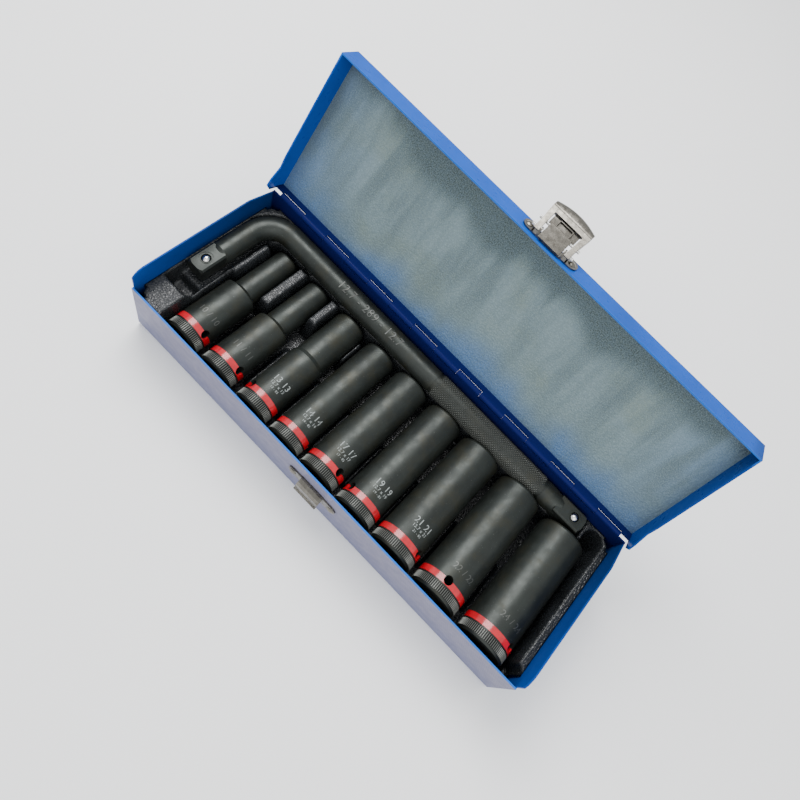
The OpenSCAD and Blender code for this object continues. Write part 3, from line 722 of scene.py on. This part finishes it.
def grid_tree(material):
    """Geometry Nodes tree of a diamond knurl wrapped round the X axis."""
    tree = bpy.data.node_groups.new("diamond_knurl", "GeometryNodeTree")
    face = tree.interface
    face.new_socket("Geometry", in_out="INPUT", socket_type="NodeSocketGeometry")
    for name in ("Start", "Length", "Radius", "Depth", "Centre Y", "Centre Z"):
        face.new_socket(name, in_out="INPUT", socket_type="NodeSocketFloat")
    for name in ("Along", "Around"):
        face.new_socket(name, in_out="INPUT", socket_type="NodeSocketInt")
    face.new_socket("Geometry", in_out="OUTPUT", socket_type="NodeSocketGeometry")
    nodes, links = tree.nodes, tree.links
    given = nodes.new("NodeGroupInput").outputs

    def calc(operation, a, b=0.0, c=0.0):
        made = nodes.new("ShaderNodeMath")
        made.operation = operation
        for socket, value in zip(made.inputs, (a, b, c)):
            if isinstance(value, bpy.types.NodeSocket):
                links.new(value, socket)
            else:
                socket.default_value = value
        return made.outputs[0]

    grid = nodes.new("GeometryNodeMeshGrid")
    grid.inputs["Size X"].default_value = 1.0
    grid.inputs["Size Y"].default_value = 1.0
    links.new(calc("ADD", calc("MULTIPLY", given["Along"], 4.0), 1.0), grid.inputs["Vertices X"])
    links.new(calc("ADD", calc("MULTIPLY", given["Around"], 4.0), 1.0), grid.inputs["Vertices Y"])
    spot = nodes.new("ShaderNodeSeparateXYZ")
    links.new(nodes.new("GeometryNodeInputPosition").outputs[0], spot.inputs[0])
    u = calc("ADD", spot.outputs[0], 0.5)
    v = calc("ADD", spot.outputs[1], 0.5)
    along = calc("MULTIPLY", u, given["Along"])
    around = calc("MULTIPLY", v, given["Around"])
    ridge = calc("MINIMUM", calc("PINGPONG", calc("ADD", along, around), 0.5),
                 calc("PINGPONG", calc("SUBTRACT", along, around), 0.5))
    lift = calc("MULTIPLY", calc("MULTIPLY", ridge, 2.0), given["Depth"])
    ends = calc("MINIMUM", calc("MULTIPLY", u, 60.0), calc("MULTIPLY", calc("SUBTRACT", 1.0, u), 60.0))
    sink = calc("MULTIPLY", calc("SUBTRACT", 1.0, calc("MINIMUM", ends, 1.0)), -0.0006)
    radius = calc("ADD", calc("ADD", given["Radius"], lift), sink)
    angle = calc("MULTIPLY", v, 2 * math.pi)
    place = nodes.new("ShaderNodeCombineXYZ")
    links.new(calc("ADD", given["Start"], calc("MULTIPLY", u, given["Length"])), place.inputs[0])
    for axis, wave, slot in (("Centre Y", "COSINE", 1), ("Centre Z", "SINE", 2)):
        swing = calc("MULTIPLY", radius, calc(wave, angle))
        links.new(calc("ADD", given[axis], swing), place.inputs[slot])
    put = nodes.new("GeometryNodeSetPosition")
    links.new(grid.outputs["Mesh"], put.inputs["Geometry"])
    links.new(place.outputs[0], put.inputs["Position"])
    weld = nodes.new("GeometryNodeMergeByDistance")
    weld.inputs["Distance"].default_value = 0.00002
    links.new(put.outputs[0], weld.inputs["Geometry"])
    real = nodes.new("GeometryNodeRealizeInstances")
    links.new(weld.outputs[0], real.inputs[0])
    coat = nodes.new("GeometryNodeSetMaterial")
    coat.inputs["Material"].default_value = material
    links.new(real.outputs[0], coat.inputs["Geometry"])
    links.new(coat.outputs[0], nodes.new("NodeGroupOutput").inputs[0])
    return tree


def run_tree(name, tree, values):
    """Evaluates a tree with named inputs into a plain mesh."""
    holder = bpy.data.objects.new(name + "_source", bpy.data.meshes.new(name + "_source"))
    bpy.context.scene.collection.objects.link(holder)
    modifier = holder.modifiers.new("tree", "NODES")
    modifier.node_group = tree
    for item in tree.interface.items_tree:
        if item.item_type == "SOCKET" and item.in_out == "INPUT" and item.name in values:
            modifier[item.identifier] = values[item.name]
    graph = bpy.context.evaluated_depsgraph_get()
    mesh = bpy.data.meshes.new_from_object(holder.evaluated_get(graph))
    bpy.data.objects.remove(holder)
    mesh.name = name
    return mesh


def outward(mesh, centre_y, centre_z):
    """Turns the faces of a sleeve round the X axis outward."""
    bm = bmesh.new()
    bm.from_mesh(mesh)
    score = 0.0
    for face in bm.faces:
        middle = face.calc_center_median()
        score += face.normal.y * (middle.y - centre_y) + face.normal.z * (middle.z - centre_z)
    if score < 0:
        bmesh.ops.reverse_faces(bm, faces=bm.faces)
    bm.to_mesh(mesh)
    bm.free()


class SOCKETSET_OT_knurl_grip(bpy.types.Operator):
    """Cut the diamond knurl on the handle's grip"""
    bl_idname = "socketset.knurl_grip"
    bl_label = "Knurl Grip"

    def execute(self, context):
        settings = context.scene.socketset
        low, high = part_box("handle_bar")
        bar_r = (high[2] - low[2]) / 2
        centre_z = (high[2] + low[2]) / 2
        centre_y = high[1] - bar_r
        start = BASE_LOW.x + GRIP_FROM
        root = bar_r / MM - 0.25
        crest = root + settings.grip.depth / MM
        # The ring places painted shade in the grip's knurl roots and a painted highlight on its crests.
        ring = ("X", centre_y / MM, centre_z / MM, root + 0.1, crest - 0.1, start / MM,
                (start + GRIP_LENGTH) / MM)
        material = phosphate(settings.colours, "phosphate_grip", 3.0, ring)
        mesh = run_tree("grip_knurl", grid_tree(material), {
            "Start": start, "Length": GRIP_LENGTH, "Radius": bar_r - 0.25 * MM,
            "Depth": settings.grip.depth, "Centre Y": centre_y, "Centre Z": centre_z,
            "Along": settings.grip.along, "Around": settings.grip.around})
        outward(mesh, centre_y, centre_z)
        grip = link_mesh("grip_knurl", mesh, material, smooth=False)
        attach(grip, "handle")
        return {"FINISHED"}


def flat_text(words, height, depth, spacing=1.0):
    """Mesh of raised characters lying flat: X along the line, Y up the letters, Z out."""
    curve = bpy.data.curves.new("words", "FONT")
    curve.body = words
    curve.size = height
    curve.space_character = spacing
    curve.extrude = depth
    curve.align_x = "CENTER"
    curve.align_y = "CENTER"
    curve.resolution_u = 3
    holder = bpy.data.objects.new("words", curve)
    bpy.context.scene.collection.objects.link(holder)
    graph = bpy.context.evaluated_depsgraph_get()
    mesh = bpy.data.meshes.new_from_object(holder.evaluated_get(graph))
    bpy.data.objects.remove(holder)
    return mesh


def wrap_on_bar(mesh, along, across, out, centre, radius, turn, start):
    """Lays flat characters on a bar: X follows the bar, Y goes round it, Z stands out of it."""
    bm = bmesh.new()
    bm.from_mesh(mesh)
    bmesh.ops.remove_doubles(bm, verts=bm.verts, dist=1e-7)
    bmesh.ops.triangulate(bm, faces=bm.faces)
    for vert in bm.verts:
        angle = turn + vert.co.y / radius
        reach = radius + vert.co.z
        vert.co = (centre + along * (start + vert.co.x)
                   + across * (reach * math.sin(angle)) + out * (reach * math.cos(angle)))
    bmesh.ops.recalc_face_normals(bm, faces=bm.faces)
    bm.to_mesh(mesh)
    bm.free()


class SOCKETSET_OT_mark_tools(bpy.types.Operator):
    """Laser the sizes on the sockets and raise the drive size on the handle"""
    bl_idname = "socketset.mark_tools"
    bl_label = "Mark Tools"

    def execute(self, context):
        colours = context.scene.socketset.colours
        laser = laser_grey(colours)
        dull = phosphate(colours, "phosphate_marks", 8.0)
        lift_colour(dull, 0.055)
        for index, size in enumerate(SIZES):
            low, high = (Vector(c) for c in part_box(f"socket_{size}"))
            band_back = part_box(f"band_{size}")[1][1]
            radius = (high.z - low.z) / 2
            centre = Vector(((low.x + high.x) / 2, band_back, (low.z + high.z) / 2))
            clear = 2 <= index <= 6
            meshes = []
            rows = ((("%d %d" % (size, size), 5.6, 11.5), ("12.7 x %d" % size, 2.9, 7.9),
                     ("%d - 85" % size, 2.2, 5.2)) if clear
                    else ((f"{size} / {size}", 5.6, 8.5),))
            for words, height, along in rows:
                mesh = flat_text(words, height * MM, 0.012 * MM, 1.05)
                for vert in mesh.vertices:
                    vert.co = (vert.co.y, -vert.co.x, vert.co.z)
                wrap_on_bar(mesh, Vector((0, 1, 0)), Vector((-1, 0, 0)), Vector((0, 0, 1)),
                            centre, radius + 0.012 * MM, LEAN, along * MM)
                meshes.append(mesh)
            mark = join_meshes(f"mark_{size}", meshes, laser if clear else dull)
            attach(mark, f"deep_{size}")
        low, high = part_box("handle_bar")
        bar_r = (high[2] - low[2]) / 2
        centre = Vector((BASE_LOW.x, high[1] - bar_r, (high[2] + low[2]) / 2))
        length = round((high[0] - low[0]) / MM)
        mesh = flat_text(f"12.7 - {length} - 12.7", 7.6 * MM, 0.55 * MM, 1.10)
        wrap_on_bar(mesh, Vector((1, 0, 0)), Vector((0, 1, 0)), Vector((0, 0, 1)), centre, bar_r,
                    RAISED_LEAN, 103.0 * MM)
        lightened_bar = phosphate(colours, "phosphate_lightened", 2.0)
        lift_colour(lightened_bar, 0.05)
        raised = link_mesh("raised_marks", mesh, lightened_bar, smooth=False)
        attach(raised, "handle")
        return {"FINISHED"}


def lift_colour(material, share):
    """Mixes a share of pale grey into a material's colour, making it evenly lighter."""
    shader = material.node_tree.nodes["Principled BSDF"]
    link = shader.inputs["Base Color"].links[0]
    mix = material.node_tree.nodes.new("ShaderNodeMixRGB")
    mix.inputs["Fac"].default_value = share
    mix.inputs["Color2"].default_value = (1.0, 1.0, 0.97, 1.0)
    material.node_tree.links.new(link.from_socket, mix.inputs["Color1"])
    material.node_tree.links.new(mix.outputs["Color"], shader.inputs["Base Color"])


def join_meshes(name, meshes, material):
    bm = bmesh.new()
    for mesh in meshes:
        bm.from_mesh(mesh)
        bpy.data.meshes.remove(mesh)
    joined = bpy.data.meshes.new(name)
    bm.to_mesh(joined)
    bm.free()
    return link_mesh(name, joined, material, smooth=False)


class SOCKETSET_OT_set_stage(bpy.types.Operator):
    """Lay the floor, hang the lights and place the camera"""
    bl_idname = "socketset.set_stage"
    bl_label = "Set Stage"

    def execute(self, context):
        settings = context.scene.socketset
        stage = settings.stage
        half = 6.0
        mesh = mesh_from("floor", [(-half, -half, 0), (half, -half, 0), (half, half, 0), (-half, half, 0)],
                         [(0, 1, 2, 3)])
        floor = link_mesh("floor", mesh, floor_paint(settings.colours), smooth=False)
        world = bpy.data.worlds.new("studio")
        world.use_nodes = True
        world.node_tree.nodes["Background"].inputs["Color"].default_value = (0.96, 0.98, 1.0, 1.0)
        world.node_tree.nodes["Background"].inputs["Strength"].default_value = stage.sky
        context.scene.world = world
        for name, place, size, power in (
                ("key", (-0.35, 0.30, 0.85), 0.55, stage.key),
                ("fill", (0.45, -0.55, 0.90), 0.9, stage.fill)):
            lamp = bpy.data.lights.new(name, "AREA")
            lamp.energy = power
            lamp.size = size
            holder = bpy.data.objects.new(name, lamp)
            holder.location = place
            holder.rotation_euler = Vector(place).to_track_quat("Z", "Y").to_euler()
            context.scene.collection.objects.link(holder)
        lens = bpy.data.cameras.new("camera")
        lens.lens = stage.lens
        lens.sensor_width = 36.0
        lens.clip_start = 0.01
        lens.clip_end = 50.0
        lens.shift_x, lens.shift_y = CAMERA_SHIFT
        camera = bpy.data.objects.new("camera", lens)
        camera.location = stage.eye
        camera.rotation_euler = stage.aim
        context.scene.collection.objects.link(camera)
        context.scene.camera = camera
        return {"FINISHED"}


# ---- Panel and registration ---------------------------------------------------------------------------

OPERATORS = (SOCKETSET_OT_set_stage, SOCKETSET_OT_paint_case, SOCKETSET_OT_plate_fittings,
             SOCKETSET_OT_press_latch, SOCKETSET_OT_form_tray, SOCKETSET_OT_finish_sockets,
             SOCKETSET_OT_knurl_grip,
             SOCKETSET_OT_mark_tools)


class SOCKETSET_PT_tools(bpy.types.Panel):
    """Lists the steps that finish the socket set"""
    bl_idname = "SOCKETSET_PT_tools"
    bl_label = "Socket Set"
    bl_space_type = "VIEW_3D"
    bl_region_type = "UI"
    bl_category = "Socket Set"

    def draw(self, context):
        for operator in OPERATORS:
            self.layout.operator(operator.bl_idname)


CLASSES = (SOCKETSET_PG_colours, SOCKETSET_PG_tray, SOCKETSET_PG_grip, SOCKETSET_PG_stage,
           SOCKETSET_PG_settings, *OPERATORS, SOCKETSET_PT_tools)


def register():
    for item in CLASSES:
        bpy.utils.register_class(item)
    bpy.types.Scene.socketset = PointerProperty(type=SOCKETSET_PG_settings)


def unregister():
    del bpy.types.Scene.socketset
    for item in reversed(CLASSES):
        bpy.utils.unregister_class(item)


def call(operator):
    group, name = operator.bl_idname.split(".")
    getattr(getattr(bpy.ops, group), name)()


def main():
    register()
    for operator in OPERATORS:
        call(operator)


if __name__ == "__main__":
    main()
